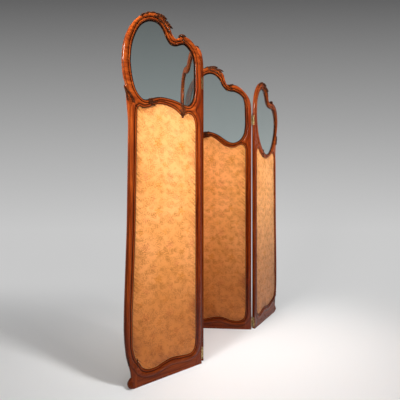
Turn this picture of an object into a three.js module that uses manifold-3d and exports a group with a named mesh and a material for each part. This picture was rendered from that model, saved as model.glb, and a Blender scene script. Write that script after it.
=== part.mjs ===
// Four-fold room divider screen: carved hardwood panels with a glazed top and a silk panel below,
// joined by pairs of loose-pin butt hinges. Millimetres, +Z up, standing on z = 0.
// Each panel is drawn in its own frame: x runs from its left edge to its right edge seen from the
// front, y runs from its front face (0) to its back face, z runs up from the floor.
import * as THREE from "three";
import { mergeVertices } from "three/addons/utils/BufferGeometryUtils.js";
import Module from "manifold-3d";

const wasm = await Module();
wasm.setup();

// Driving dimensions.
const PANEL_WIDTH = 447;
const PANEL_THICKNESS = 24;
const STILE_WIDTH = 38;
const JOINT_GAP = 0.3;
const CURVE_STEPS = 2;

// Layers inside a panel, as depths behind the front face.
const GLASS_FRONT = 10;
const GLASS_THICKNESS = 4;
const SILK_FRONT = 7;
const SILK_THICKNESS = 2.5;
const BOARD_THICKNESS = 5;
const LINING_THICKNESS = 1.5;
const PANE_CLEARANCE = 0.6;
const CARVING_RELIEF = 5;

// Hinges.
const HINGE_HEIGHT = 64;
const LOW_HINGE_CENTRE = 42;
const LEAF_THICKNESS = 2;
const LEAF_REACH = 17;
const EDGE_CLEARANCE = 1;
const PIN_STANDOFF = 6;
const KNUCKLE_RADIUS = 4.5;
const BORE_RADIUS = 2.2;
const PIN_RADIUS = 1.9;
const FINIAL_RADIUS = 3.8;
const KNUCKLE_COUNT = 3;
const ROUND_SIDES = 12;

// A free edge leans out towards the floor, pulls in over the foot and swells out at the top ring.
// Each pair is the distance in from the panel's side and the height.
const FOOT_CURL = [[56, 0], [41, 7], [35, 22], [38, 36], [51, 50]];
const FREE_STILE = [[48, 78], [37, 115], [26, 167], [18, 260], [19, 380], [25, 549], [31, 729], [35, 950],
  [37, 1110], [37, 1240]];

// The four panels from left to right. heading is the direction in plan, in degrees; the curves are
// hand-drawn points, each list a smooth stretch between corners.
const PANELS = [
  {
    name: "a",
    heading: 36.2,
    free: "left",
    joinHeight: { left: 1300, right: 1560 },
    spur: { reach: 17, height: 1378, shoulder: 7 },
    crest: [177, 1760],
    ring: [[7, 1500], [15, 1578], [38, 1645], [70, 1696], [105, 1730], [142, 1752], [177, 1760], [211, 1756],
      [237, 1740], [255, 1714]],
    wave: [[255, 1714], [270, 1683], [290, 1671], [318, 1690], [353, 1697], [386, 1686], [416, 1658],
      [437, 1612], [445, 1560], [447, 1520]],
    glass: {
      upper: [[44, 1500], [50, 1572], [68, 1632], [95, 1682], [130, 1712], [163, 1723], [195, 1720], [220, 1698],
        [241, 1662]],
      shoulder: [[241, 1662], [262, 1640], [290, 1640], [317, 1653], [341, 1661], [367, 1650], [394, 1622],
        [407, 1580], [409, 1530]],
      lower: [[409, 1440], [403, 1396], [387, 1362], [366, 1345], [338, 1346], [300, 1356], [255, 1361],
        [202, 1359], [158, 1345]],
      corner: [[158, 1345], [121, 1332], [95, 1343], [70, 1375], [52, 1435], [44, 1500]],
    },
    silk: {
      top: [[77, 1250], [81, 1285], [92, 1300], [106, 1294], [144, 1305], [165, 1318], [196, 1328], [245, 1327],
        [285, 1315], [315, 1295], [330, 1289], [348, 1300], [369, 1308], [393, 1296], [406, 1268], [409, 1235]],
      bottom: [[409, 160], [405, 113], [394, 86], [373, 75], [330, 77], [266, 85], [213, 76], [179, 66],
        [140, 66], [109, 80], [91, 108], [70, 137], [57, 195]],
    },
  },
  {
    name: "b",
    heading: 107.4,
    free: "none",
    joinHeight: { left: 1560, right: 1530 },
    crest: [182, 1760],
    ring: [[0, 1560], [10, 1625], [36, 1678], [76, 1716], [118, 1745], [150, 1757], [182, 1760], [214, 1756],
      [244, 1742], [268, 1718]],
    wave: [[268, 1718], [284, 1701], [304, 1698], [332, 1711], [362, 1708], [392, 1692], [420, 1655],
      [438, 1604], [445, 1565], [447, 1530]],
    glass: {
      upper: [[38, 1560], [46, 1612], [70, 1655], [105, 1690], [145, 1713], [182, 1720], [215, 1714], [246, 1686]],
      shoulder: [[246, 1686], [270, 1664], [302, 1660], [335, 1673], [363, 1668], [390, 1642], [406, 1600],
        [409, 1560]],
      lower: [[409, 1440], [401, 1388], [377, 1347], [342, 1326], [298, 1332], [240, 1350], [190, 1350],
        [148, 1336]],
      corner: [[148, 1336], [97, 1324], [62, 1345], [43, 1392], [38, 1440], [38, 1560]],
    },
    silk: {
      top: [[38, 1240], [43, 1275], [60, 1297], [90, 1296], [130, 1302], [180, 1322], [238, 1321], [287, 1303],
        [326, 1290], [360, 1302], [388, 1299], [405, 1272], [409, 1235]],
      bottom: [[409, 160], [403, 108], [387, 82], [356, 73], [308, 78], [253, 86], [203, 77], [150, 66],
        [98, 67], [60, 84], [43, 118], [38, 170]],
    },
  },
  {
    name: "c",
    heading: -4.1,
    free: "none",
    joinHeight: { left: 1480, right: 1480 },
    crest: [170, 1760],
    ring: [[0, 1480], [9, 1565], [35, 1640], [73, 1692], [114, 1736], [142, 1754], [170, 1760], [203, 1755],
      [238, 1738], [263, 1704]],
    wave: [[263, 1704], [279, 1650], [297, 1628], [323, 1631], [343, 1632], [370, 1616], [402, 1586],
      [432, 1543], [444, 1500], [447, 1460]],
    glass: {
      upper: [[38, 1480], [43, 1560], [65, 1632], [97, 1680], [132, 1708], [160, 1718], [186, 1717], [216, 1700],
        [241, 1670], [255, 1638]],
      shoulder: [[255, 1638], [281, 1606], [313, 1596], [338, 1592], [373, 1573], [397, 1545], [407, 1500],
        [409, 1450]],
      lower: [[409, 1350], [400, 1301], [372, 1260], [327, 1242], [283, 1257], [226, 1297], [175, 1317],
        [137, 1320]],
      corner: [[137, 1320], [92, 1296], [60, 1308], [43, 1348], [38, 1400], [38, 1480]],
    },
    silk: {
      top: [[38, 1215], [45, 1250], [68, 1268], [102, 1268], [140, 1282], [180, 1290], [219, 1267], [271, 1227],
        [330, 1214], [368, 1230], [398, 1228], [409, 1195]],
      bottom: [[409, 135], [400, 80], [370, 57], [313, 59], [267, 75], [220, 80], [142, 66], [93, 61], [56, 76],
        [42, 118], [38, 170]],
    },
  },
  {
    name: "d",
    heading: 57.3,
    free: "right",
    joinHeight: { left: 1450, right: 1290 },
    spur: { reach: 13, height: 1358, shoulder: -9 },
    crest: [150, 1693],
    ring: [[0, 1450], [8, 1530], [31, 1600], [70, 1652], [110, 1682], [150, 1693], [192, 1687], [230, 1666],
      [252, 1634]],
    wave: [[252, 1634], [261, 1600], [283, 1588], [320, 1597], [368, 1597], [411, 1582], [443, 1542],
      [456, 1478]],
    glass: {
      upper: [[40, 1450], [46, 1530], [74, 1592], [110, 1632], [145, 1649], [178, 1640], [203, 1612], [220, 1580]],
      shoulder: [[220, 1580], [247, 1556], [288, 1548], [331, 1553], [367, 1540], [395, 1505], [407, 1455]],
      lower: [[407, 1455], [400, 1400], [380, 1338], [343, 1272], [292, 1217], [230, 1192], [180, 1203]],
      corner: [[180, 1203], [135, 1230], [98, 1268], [66, 1322], [48, 1385], [40, 1450]],
    },
    silk: {
      top: [[38, 1170], [44, 1205], [66, 1214], [92, 1194], [122, 1178], [165, 1166], [209, 1164], [259, 1179],
        [300, 1199], [336, 1214], [361, 1206], [370, 1170]],
      bottom: [[390, 195], [377, 148], [348, 118], [305, 106], [268, 96], [232, 93], [184, 101], [137, 95],
        [92, 81], [60, 84], [43, 112], [38, 160]],
    },
  },
];

// Each joint between neighbouring panels: the side its pin stands on and the height of its top hinge.
const JOINTS = [
  { left: "a", right: "b", pin: "back", topHinge: 1491 },
  { left: "b", right: "c", pin: "front", topHinge: 1400 },
  { left: "c", right: "d", pin: "back", topHinge: 1400 },
];

const FINISH = {
  mahogany: { color: 0x7a3212, roughness: 0.28, metalness: 0 },
  carving: { color: 0x5c2810, roughness: 0.4, metalness: 0 },
  glass: { color: 0xb8c4be, roughness: 0.05, metalness: 0 },
  silk: { color: 0xd39a5a, roughness: 0.5, metalness: 0 },
  board: { color: 0x9a7448, roughness: 0.8, metalness: 0 },
  lining: { color: 0xa88452, roughness: 0.8, metalness: 0 },
  brass: { color: 0xb08a3c, roughness: 0.3, metalness: 1 },
};

function piece(name, geometry, finish) {
  const mesh = new THREE.Mesh(geometry, new THREE.MeshStandardMaterial(FINISH[finish]));
  mesh.name = name;
  return mesh;
}

function toSolid(geometry) {
  const bare = geometry.index ? geometry.toNonIndexed() : geometry.clone();
  bare.deleteAttribute("normal");
  bare.deleteAttribute("uv");
  const merged = mergeVertices(bare, 1e-3);
  return new wasm.Manifold(new wasm.Mesh({
    numProp: 3,
    vertProperties: new Float32Array(merged.attributes.position.array),
    triVerts: new Uint32Array(merged.index.array),
  }));
}

function toGeometry(solid) {
  const mesh = solid.getMesh();
  const geometry = new THREE.BufferGeometry();
  geometry.setAttribute("position", new THREE.BufferAttribute(mesh.vertProperties, 3));
  geometry.setIndex(new THREE.BufferAttribute(mesh.triVerts, 1));
  geometry.computeVertexNormals();
  return geometry;
}

// A closed outline from stretches of points: two points make a straight line, more make a spline.
function outline(...stretches) {
  const shape = new THREE.Shape();
  shape.moveTo(...stretches[0][0]);
  for (const stretch of stretches) {
    const [first, ...rest] = stretch.map(([x, z]) => new THREE.Vector2(x, z));
    if (first.distanceTo(shape.currentPoint) > JOINT_GAP) shape.lineTo(first.x, first.y);
    if (rest.length > 1) shape.splineThru(rest);
    else if (rest.length === 1) shape.lineTo(rest[0].x, rest[0].y);
  }
  shape.closePath();
  return shape;
}

// A plate of the given outline, from depth front to depth back behind the panel's front face.
function plate(shape, front, back) {
  const geometry = new THREE.ExtrudeGeometry(shape, {
    depth: back - front,
    bevelEnabled: false,
    curveSegments: CURVE_STEPS,
  });
  geometry.rotateX(Math.PI / 2);
  geometry.translate(0, back, 0);
  return geometry;
}

function box(x0, x1, y0, y1, z0, z1) {
  const geometry = new THREE.BoxGeometry(Math.abs(x1 - x0), Math.abs(y1 - y0), Math.abs(z1 - z0));
  geometry.translate((x0 + x1) / 2, (y0 + y1) / 2, (z0 + z1) / 2);
  return geometry;
}

// A full-depth block used to saw a panel's frame into its members.
function sawBlock(x0, x1, z0, z1) {
  return toSolid(box(x0, x1, -PANEL_THICKNESS, 2 * PANEL_THICKNESS, z0, z1));
}

const fromSide = (panel, [inset, z]) => [panel.free === "left" ? inset : PANEL_WIDTH - inset, z];

// The free edge from the floor up to the ring, listed upwards.
function freeEdge(panel) {
  const { reach, height, shoulder } = panel.spur;
  const waist = FREE_STILE[FREE_STILE.length - 1];
  const neck = [waist, [30, height - 62], [reach + 9, height - 20], [reach, height]];
  const notch = [[reach, height], [reach + 6, height + 12], [(reach + shoulder) / 2, height + 55],
    [shoulder, height + 120]];
  return [FOOT_CURL, [FOOT_CURL[FOOT_CURL.length - 1], ...FREE_STILE], neck, notch]
    .map((stretch) => stretch.map((point) => fromSide(panel, point)));
}

const downwards = (stretches) => stretches.map((stretch) => [...stretch].reverse()).reverse();

function silhouette(panel) {
  const left = panel.free === "left" ? freeEdge(panel) : [[[0, 0], panel.ring[0]]];
  const right = panel.free === "right" ? downwards(freeEdge(panel))
    : [[panel.wave[panel.wave.length - 1], [PANEL_WIDTH, 0]]];
  return outline(...left, panel.ring, panel.wave, ...right);
}

function glassOutline(panel) {
  const { upper, shoulder, lower, corner } = panel.glass;
  return outline(upper, shoulder, lower, corner);
}

// The silk opening follows the inner edge of a free stile, one stile width in from its outer edge.
function silkOutline(panel) {
  const { top, bottom } = panel.silk;
  const inner = FREE_STILE.slice(3, -1).map(([inset, z]) => fromSide(panel, [inset + STILE_WIDTH, z]));
  const topEnd = top[top.length - 1];
  const bottomEnd = bottom[bottom.length - 1];
  const rise = panel.free === "left" ? [bottomEnd, ...inner, top[0]] : [bottomEnd, top[0]];
  const fall = panel.free === "right" ? [topEnd, ...inner.reverse(), bottom[0]] : [topEnd, bottom[0]];
  return outline(top, fall, bottom, rise);
}

// The same outline drawn in towards its middle, so that a pane clears the frame around it.
function paneOutline(shape) {
  const box2 = new THREE.Box2().setFromPoints(shape.getPoints(CURVE_STEPS));
  const centre = box2.getCenter(new THREE.Vector2());
  const size = box2.getSize(new THREE.Vector2());
  const points = shape.getPoints(CURVE_STEPS).map((point) => new THREE.Vector2(
    centre.x + (point.x - centre.x) * (1 - 2 * PANE_CLEARANCE / size.x),
    centre.y + (point.y - centre.y) * (1 - 2 * PANE_CLEARANCE / size.y),
  ));
  return new THREE.Shape(points);
}

// Cuts the blank of one panel into two stiles and three rails, each with a narrow joint line.
function frameMembers(panel) {
  const far = 2 * PANEL_WIDTH;
  const high = 3000;
  const leftCut = (panel.free === "left" ? 2 : 1) * STILE_WIDTH + 1;
  const rightCut = PANEL_WIDTH - (panel.free === "right" ? 2 : 1) * STILE_WIDTH - 1;
  const gap = JOINT_GAP / 2;
  const panes = (panel.glass.upper[0][1] + panel.glass.lower[0][1]) / 2;
  const skirt = 700;
  const blank = toSolid(plate(silhouette(panel), 0, PANEL_THICKNESS))
    .subtract(toSolid(plate(glassOutline(panel), -1, PANEL_THICKNESS + 1)))
    .subtract(toSolid(plate(silkOutline(panel), -1, PANEL_THICKNESS + 1)));
  const { left, right } = panel.joinHeight;
  return {
    left_stile: blank.intersect(sawBlock(-far, leftCut - gap, -1, left - gap)),
    right_stile: blank.intersect(sawBlock(rightCut + gap, far, -1, right - gap)),
    base_rail: blank.intersect(sawBlock(leftCut + gap, rightCut - gap, -1, skirt)),
    mid_rail: blank.intersect(sawBlock(leftCut + gap, rightCut - gap, skirt, panes)),
    top_rail: blank
      .subtract(sawBlock(-far, leftCut + gap, -1, left + gap))
      .subtract(sawBlock(rightCut - gap, far, -1, right + gap))
      .subtract(sawBlock(leftCut, rightCut, -1, panes)),
  };
}

// A pair of acanthus sprays laid over the top of the ring, about the crest point.
function crestCarving(panel) {
  const [x, z] = panel.crest;
  const upper = [[-84, -66], [-58, -32], [-28, -13], [0, -4], [34, -8], [58, -22], [74, -50]];
  const under = [[74, -50], [50, -36], [30, -28], [0, -26], [-34, -36], [-64, -60], [-84, -66]];
  const place = (points) => points.map(([dx, dz]) => [x + dx, z + dz]);
  return plate(outline(place(upper), place(under)), -CARVING_RELIEF - JOINT_GAP, -JOINT_GAP);
}

// Where a panel carries a hinge: its edge, the side of the pin and the pin's axis.
function hingeSeat(edge, pinSide) {
  const outward = edge === "right" ? 1 : -1;
  const edgeX = edge === "right" ? PANEL_WIDTH : 0;
  const backward = pinSide === "back" ? 1 : -1;
  const faceY = pinSide === "back" ? PANEL_THICKNESS : 0;
  return {
    outward,
    edgeX,
    backward,
    faceY,
    pinX: edgeX + outward * EDGE_CLEARANCE,
    pinY: faceY + backward * PIN_STANDOFF,
  };
}

function verticalRod(radius, x, y, z0, z1) {
  const geometry = new THREE.CylinderGeometry(radius, radius, z1 - z0, ROUND_SIDES);
  geometry.rotateX(Math.PI / 2);
  geometry.translate(x, y, (z0 + z1) / 2);
  return geometry;
}

function mortise(seat, centre) {
  const { outward, edgeX, backward, faceY } = seat;
  const half = HINGE_HEIGHT / 2 + JOINT_GAP;
  return toSolid(box(
    edgeX - outward * (LEAF_THICKNESS + JOINT_GAP), edgeX + outward,
    faceY - backward * (LEAF_REACH + JOINT_GAP), faceY + backward,
    centre - half, centre + half,
  ));
}

// One leaf with its own share of the knuckles: the even ones or the odd ones.
function hingeLeaf(seat, centre, odd) {
  const { outward, edgeX, backward, faceY, pinX, pinY } = seat;
  const low = centre - HINGE_HEIGHT / 2;
  const pitch = HINGE_HEIGHT / KNUCKLE_COUNT;
  const leafX = edgeX - outward * LEAF_THICKNESS;
  let leaf = toSolid(box(leafX, edgeX, faceY - backward * LEAF_REACH, faceY, low, low + HINGE_HEIGHT));
  for (let k = odd ? 1 : 0; k < KNUCKLE_COUNT; k += 2) {
    const z0 = low + k * pitch + JOINT_GAP / 2;
    const z1 = low + (k + 1) * pitch - JOINT_GAP / 2;
    leaf = leaf
      .add(toSolid(box(leafX, edgeX, faceY - backward, pinY, z0, z1)))
      .add(toSolid(verticalRod(KNUCKLE_RADIUS, pinX, pinY, z0, z1)));
  }
  const bore = toSolid(verticalRod(BORE_RADIUS, pinX, pinY, low - 1, low + HINGE_HEIGHT + 1));
  return toGeometry(leaf.subtract(bore));
}

// A loose pin with a ball finial at each end, turned about its own axis.
function hingePin(seat, centre) {
  const shaftHalf = HINGE_HEIGHT / 2 + JOINT_GAP;
  const ballSteps = 4;
  const neckAngle = Math.asin(PIN_RADIUS / FINIAL_RADIUS);
  const ballCentre = shaftHalf + FINIAL_RADIUS * Math.cos(neckAngle);
  const profile = [];
  for (const end of [-1, 1]) {
    for (let i = 0; i <= ballSteps; i++) {
      const along = end < 0 ? i : ballSteps - i;
      const angle = along / ballSteps * (Math.PI - neckAngle);
      profile.push(new THREE.Vector2(
        FINIAL_RADIUS * Math.sin(angle),
        end * (ballCentre + FINIAL_RADIUS * Math.cos(angle)),
      ));
    }
  }
  const geometry = new THREE.LatheGeometry(profile, ROUND_SIDES);
  geometry.rotateX(Math.PI / 2);
  geometry.translate(seat.pinX, seat.pinY, centre);
  return geometry;
}

function buildPanel(panel) {
  const group = new THREE.Group();
  const members = frameMembers(panel);
  for (const joint of JOINTS) {
    const edge = joint.left === panel.name ? "right" : joint.right === panel.name ? "left" : null;
    if (!edge) continue;
    const seat = hingeSeat(edge, joint.pin);
    for (const [level, centre] of [["top", joint.topHinge], ["low", LOW_HINGE_CENTRE]]) {
      const stile = `${edge}_stile`;
      const label = `hinge_${joint.left}${joint.right}_${level}`;
      members[stile] = members[stile].subtract(mortise(seat, centre));
      group.add(piece(`${label}_leaf_${panel.name}`, hingeLeaf(seat, centre, edge === "left"), "brass"));
      if (edge === "right") group.add(piece(`${label}_pin`, hingePin(seat, centre), "brass"));
    }
  }
  for (const [member, solid] of Object.entries(members)) {
    group.add(piece(`panel_${panel.name}_${member}`, toGeometry(solid), "mahogany"));
  }
  const glass = plate(paneOutline(glassOutline(panel)), GLASS_FRONT, GLASS_FRONT + GLASS_THICKNESS);
  group.add(piece(`panel_${panel.name}_glass_pane`, glass, "glass"));
  const layers = [
    ["silk_panel", SILK_THICKNESS, "silk"],
    ["backing_board", BOARD_THICKNESS, "board"],
    ["back_lining", LINING_THICKNESS, "lining"],
  ];
  let depth = SILK_FRONT;
  for (const [layer, thickness, finish] of layers) {
    const sheet = plate(paneOutline(silkOutline(panel)), depth, depth + thickness);
    group.add(piece(`panel_${panel.name}_${layer}`, sheet, finish));
    depth += thickness + JOINT_GAP;
  }
  group.add(piece(`panel_${panel.name}_crest_carving`, crestCarving(panel), "carving"));
  return group;
}

// Stands the panels in a zigzag: each starts from the pin that it shares with the one before.
function buildScreen() {
  const screen = new THREE.Group();
  const vertical = new THREE.Vector3(0, 0, 1);
  let pinPlace = new THREE.Vector3();
  PANELS.forEach((panel, index) => {
    const heading = THREE.MathUtils.degToRad(panel.heading);
    const group = buildPanel(panel);
    group.rotation.z = heading;
    if (index > 0) {
      const seat = hingeSeat("left", JOINTS[index - 1].pin);
      group.position.copy(pinPlace)
        .sub(new THREE.Vector3(seat.pinX, seat.pinY, 0).applyAxisAngle(vertical, heading));
    }
    if (index < JOINTS.length) {
      const seat = hingeSeat("right", JOINTS[index].pin);
      pinPlace = new THREE.Vector3(seat.pinX, seat.pinY, 0).applyAxisAngle(vertical, heading)
        .add(group.position);
    }
    screen.add(group);
  });
  screen.updateMatrixWorld(true);
  const bounds = new THREE.Box3().setFromObject(screen, true);
  const middle = bounds.getCenter(new THREE.Vector3());
  screen.position.set(-middle.x, -middle.y, -bounds.min.z);
  return screen;
}

export default buildScreen();
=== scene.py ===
import itertools
import math

import bpy
import numpy as np
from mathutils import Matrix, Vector
from mathutils.geometry import delaunay_2d_cdt


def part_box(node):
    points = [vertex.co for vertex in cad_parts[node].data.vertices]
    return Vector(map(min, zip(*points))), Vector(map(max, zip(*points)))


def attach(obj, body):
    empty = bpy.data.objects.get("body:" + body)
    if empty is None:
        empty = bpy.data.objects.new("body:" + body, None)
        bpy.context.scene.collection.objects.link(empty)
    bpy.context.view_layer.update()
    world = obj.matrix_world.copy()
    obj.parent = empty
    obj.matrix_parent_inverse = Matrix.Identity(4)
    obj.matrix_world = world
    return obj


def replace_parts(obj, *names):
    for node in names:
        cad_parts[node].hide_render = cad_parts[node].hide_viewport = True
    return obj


# Four-fold room divider screen: moulded and carved frames, glass, damask and brass hinges, built
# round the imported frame. Metres. Each panel also has its own axes, which most of this script works
# in: x from its left edge to its right edge, y from its front face to its back face, z up.

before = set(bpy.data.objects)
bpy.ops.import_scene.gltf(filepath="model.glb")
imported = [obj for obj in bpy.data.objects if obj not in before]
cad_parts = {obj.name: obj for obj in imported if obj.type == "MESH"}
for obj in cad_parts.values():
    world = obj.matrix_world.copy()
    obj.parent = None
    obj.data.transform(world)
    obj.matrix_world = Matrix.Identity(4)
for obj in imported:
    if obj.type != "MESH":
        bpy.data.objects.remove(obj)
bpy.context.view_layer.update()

MM = 0.001
TINY = 0.01 * MM
PANELS = "abcd"
FREE_SIDE = {"a": "left", "d": "right"}
PENDANTS = "ab"
MEMBERS = ("left_stile", "right_stile", "top_rail", "mid_rail", "base_rail")

# How outlines are drawn.
CORNER_TURN = math.radians(38)
LONG_STRAIGHT = 150 * MM
OUTLINE_STEP = 5.5 * MM
JOINT_STEP = 1.6 * MM

# The moulding's section: (distance from the opening, depth behind the face, hollowness), in mm.
# A fillet at the sight edge, a bead, a groove, a broad ovolo and then the plain ground.
# Hollowness is how far the timber is painted dark there: partly dark wax, partly painted shade.
MOULDING = [
    (0, 7.2, 0.9), (0.8, 5.8, 0.4), (2.2, 5.2, 0.5), (2.8, 4.9, 0.4), (3.8, 3.4, 0.1), (5.4, 2.5, 0.0),
    (7.2, 2.4, 0.0), (8.8, 3.2, 0.2), (9.8, 5.2, 0.9), (11.6, 5.6, 1.0), (12.8, 4.4, 0.8), (14.0, 2.8, 0.3),
    (16.0, 1.4, 0.1), (19.0, 0.4, 0.0), (22.5, 0.0, 0.0), (26.0, 0.2, 0.0), (29.5, 1.0, 0.1),
    (32.5, 2.2, 0.3), (35.0, 3.4, 0.6), (37.0, 3.8, 0.4), (44.0, 3.8, 0.1),
]
# The rounded outer edge: (distance from the outer edge, depth behind the face, hollowness), in mm.
# Its hollowness paints the outer edge dark: partly dark wax, partly painted shade.
OUTER_ROUND = [
    (0, 9.5, 0.4), (0.7, 7.0, 0.2), (1.8, 4.9, 0.1), (3.6, 3.0, 0.0), (6.5, 1.3, 0.0), (11.0, 0.0, 0.0),
]
# The same where two panels are hinged edge to edge.
MEETING_ROUND = [(0, 2.6), (0.7, 1.2), (1.8, 0.3), (3.6, 0.0)]
# The rounded edges of the back: (distance from the edge, height in front of the back face), in mm.
BACK_ROUND = [(0, 6.5), (0.7, 4.4), (1.8, 2.8), (3.6, 1.3), (6.5, 0.4), (11.0, 0.0)]
BACK_EASE = [(0, 2.0), (0.8, 0.9), (2.8, 0.0)]

# The hinges and how they are let in.
KNUCKLE_RADIUS = 4.5 * MM
BORE_RADIUS = 2.2 * MM
KNUCKLE_GAP = 0.15 * MM
SEAT_CLEARANCE = 0.3 * MM
SEAT_OVERSHOOT = 5 * MM

# The cloth, and how far in from its edge its rise, its creases and its puckers fade.
SHEET_THICKNESS = 0.8 * MM
CROWN_REACH = 28 * MM
CREASE_REACH = 25 * MM
PUCKER_REACH = 13 * MM


# ---------------------------------------------------------------- shapes in a panel's own axes

def node_points(node):
    return np.array([v.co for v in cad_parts[node].data.vertices], float)


def unit(vectors):
    return vectors / np.maximum(np.linalg.norm(vectors, axis=-1, keepdims=True), 1e-12)


class Panel:
    """One panel's axes, and the outlines of its openings and its outer edge."""

    def __init__(self, name):
        self.name = name
        self.body = f"panel_{name}"
        front = node_points(f"{self.body}_silk_panel").mean(0)
        back = unit(node_points(f"{self.body}_back_lining").mean(0) - front)
        up = np.array((0.0, 0.0, 1.0))
        self.axes = np.array((np.cross(back, up), back, up))
        self.origin = np.zeros(3)
        wood = np.concatenate([self.local(node_points(f"{self.body}_{m}")) for m in MEMBERS])
        self.origin = wood.min(0)
        self.width, self.thickness, self.height = wood.max(0) - self.origin
        self.loops = {m: front_loop(self, f"{self.body}_{m}") for m in MEMBERS}
        self.glass = front_loop(self, f"{self.body}_glass_pane")
        self.silk = front_loop(self, f"{self.body}_silk_panel")
        self.outlines = {}
        runs = {"glass": [], "silk": [], "outer": [], "meeting": [], "joint": [], "floor": []}
        for member in MEMBERS:
            made = member_runs(self, member)
            self.outlines[member] = np.concatenate([run[:-1] for _, run in made])
            for kind, run in made:
                runs[kind].append(run)
        self.opening_runs = runs["glass"] + runs["silk"]
        self.outer_runs = runs["outer"]
        self.meeting_runs = runs["meeting"]
        self.opening_edge = np.concatenate([pairs(run) for run in self.opening_runs])
        self.outer_edge = np.concatenate([pairs(run) for run in self.outer_runs])
        self.meeting_edge = np.concatenate([pairs(run) for run in self.meeting_runs])
        self.guides = moulding_guides(self)

    def local(self, points):
        return points @ self.axes.T - self.origin

    def world(self, points):
        return (points + self.origin) @ self.axes


def pairs(run):
    """The segments of a run of points, as pairs of ends."""
    return np.stack([run[:-1], run[1:]], axis=1)


def closed(loop):
    return np.concatenate([loop, loop[:1]])


def front_loop(panel, node):
    """The corners of a flat node's front face as (x, z), anticlockwise seen from the front."""
    points = panel.local(node_points(node))
    front = points[:, 1].min() + TINY
    keys = [tuple(key) for key in np.round(points[:, ::2] / TINY).astype(int).tolist()]
    sides = set()
    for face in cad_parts[node].data.polygons:
        ids = list(face.vertices)
        if points[ids, 1].max() < front:
            sides.update((keys[i], keys[j]) for i, j in zip(ids, ids[1:] + ids[:1]))
    after = {a: b for a, b in sides if (b, a) not in sides}
    loop = [min(after)]
    while after[loop[-1]] != loop[0]:
        loop.append(after[loop[-1]])
    loop = np.array(loop) * TINY
    return loop[np.abs(turns(loop)) > 0.003]


def turns(loop):
    """How far a closed loop turns at each of its points, in radians."""
    ahead = unit(np.roll(loop, -1, 0) - loop)
    behind = unit(loop - np.roll(loop, 1, 0))
    cross = behind[:, 0] * ahead[:, 1] - behind[:, 1] * ahead[:, 0]
    return np.arctan2(cross, (ahead * behind).sum(1))


def distance(points, segments):
    """How far each point is from the nearest of the segments."""
    starts = segments[:, 0]
    along = segments[:, 1] - starts
    squares = np.maximum((along * along).sum(1), 1e-18)
    batch = 500
    result = np.empty(len(points))
    for first in range(0, len(points), batch):
        relative = points[first:first + batch, None] - starts
        share = np.clip((relative * along).sum(2) / squares, 0, 1)
        gap = relative - share[..., None] * along
        result[first:first + batch] = np.sqrt((gap * gap).sum(2).min(1))
    return result


def inside(points, loop):
    """Which of the points are within a closed loop."""
    result = np.zeros(len(points), bool)
    for (x0, z0), (x1, z1) in pairs(closed(loop)):
        if z0 == z1:
            continue
        spans = (z0 > points[:, 1]) != (z1 > points[:, 1])
        crossing = x0 + (points[:, 1] - z0) * (x1 - x0) / (z1 - z0)
        result ^= spans & (points[:, 0] < crossing)
    return result


def edge_kinds(panel, member):
    """What each side of an outline is: an edge of an opening, an outer edge, a joint or the floor."""
    sides = pairs(closed(panel.loops[member]))
    middles = sides.mean(1)
    others = np.concatenate([pairs(closed(panel.loops[m])) for m in MEMBERS if m != member])
    to_others = distance(middles, others)
    to_glass = distance(middles, pairs(closed(panel.glass)))
    to_silk = distance(middles, pairs(closed(panel.silk)))
    joint_gap, pane_gap, edge_gap = 0.6 * MM, 2 * MM, 4 * MM
    kinds = []
    for side, other, glass, silk in zip(sides, to_others, to_glass, to_silk):
        if side[:, 1].max() < TINY:
            kinds.append("floor")
        elif other < joint_gap:
            kinds.append("joint")
        elif glass < pane_gap:
            kinds.append("glass")
        elif silk < pane_gap:
            kinds.append("silk")
        elif np.ptp(side[:, 0]) < TINY and edge_gap > min(side[0, 0], panel.width - side[0, 0]):
            kinds.append("meeting")
        else:
            kinds.append("outer")
    return kinds


def member_runs(panel, member):
    """A member's outline as runs of close points, each of one kind and with no corner inside."""
    loop, kinds = panel.loops[member], edge_kinds(panel, member)
    corners = np.abs(turns(loop)) > CORNER_TURN
    breaks = [i for i in range(len(loop)) if corners[i] or kinds[i] != kinds[i - 1]]
    made = []
    for first, last in zip(breaks, breaks[1:] + [breaks[0] + len(loop)]):
        points = np.array([loop[i % len(loop)] for i in range(first, last + 1)])
        step = JOINT_STEP if kinds[first] == "joint" else OUTLINE_STEP
        made.append((kinds[first], smooth_run(points, step)))
    return made


def smooth_run(points, step):
    """A smooth curve through the points, as close points. Long sides stay straight."""
    sides = points[1:] - points[:-1]
    lengths = np.linalg.norm(sides, axis=1)
    ways = unit(sides)
    tangents = np.empty_like(points)
    tangents[0], tangents[-1] = ways[0], ways[-1]
    for i in range(1, len(points) - 1):
        before, after = lengths[i - 1], lengths[i]
        tangents[i] = ways[i - 1] * after + ways[i] * before
        if max(before, after) > LONG_STRAIGHT:
            tangents[i] = ways[i - 1] if before > after else ways[i]
    tangents = unit(tangents)
    made = []
    for i, length in enumerate(lengths):
        count = max(1, math.ceil(length / step))
        t = np.arange(count)[:, None] / count
        made.append(
            (2 * t**3 - 3 * t**2 + 1) * points[i] + (t**3 - 2 * t**2 + t) * length * tangents[i]
            + (3 * t**2 - 2 * t**3) * points[i + 1] + (t**3 - t**2) * length * tangents[i + 1]
        )
    return np.concatenate(made + [points[-1:]])


def beside(run, offset):
    """The run moved sideways to its left, or to its right where offset is negative."""
    way = unit(np.gradient(run, axis=0))
    return run + offset * np.stack([-way[:, 1], way[:, 0]], axis=1)


def guide_lines(runs, source, offsets):
    """Lines at set distances from some edges, cut where another edge comes nearer: points and links."""
    points, kept = [], []
    slack = 0.15 * MM
    for run in runs:
        for offset in offsets:
            line = beside(run, offset)
            good = distance(line, source) > offset - slack
            good[-1] = False
            points.append(line)
            kept.append(good)
    return thinned(np.concatenate(points), None, np.concatenate(kept))


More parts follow.
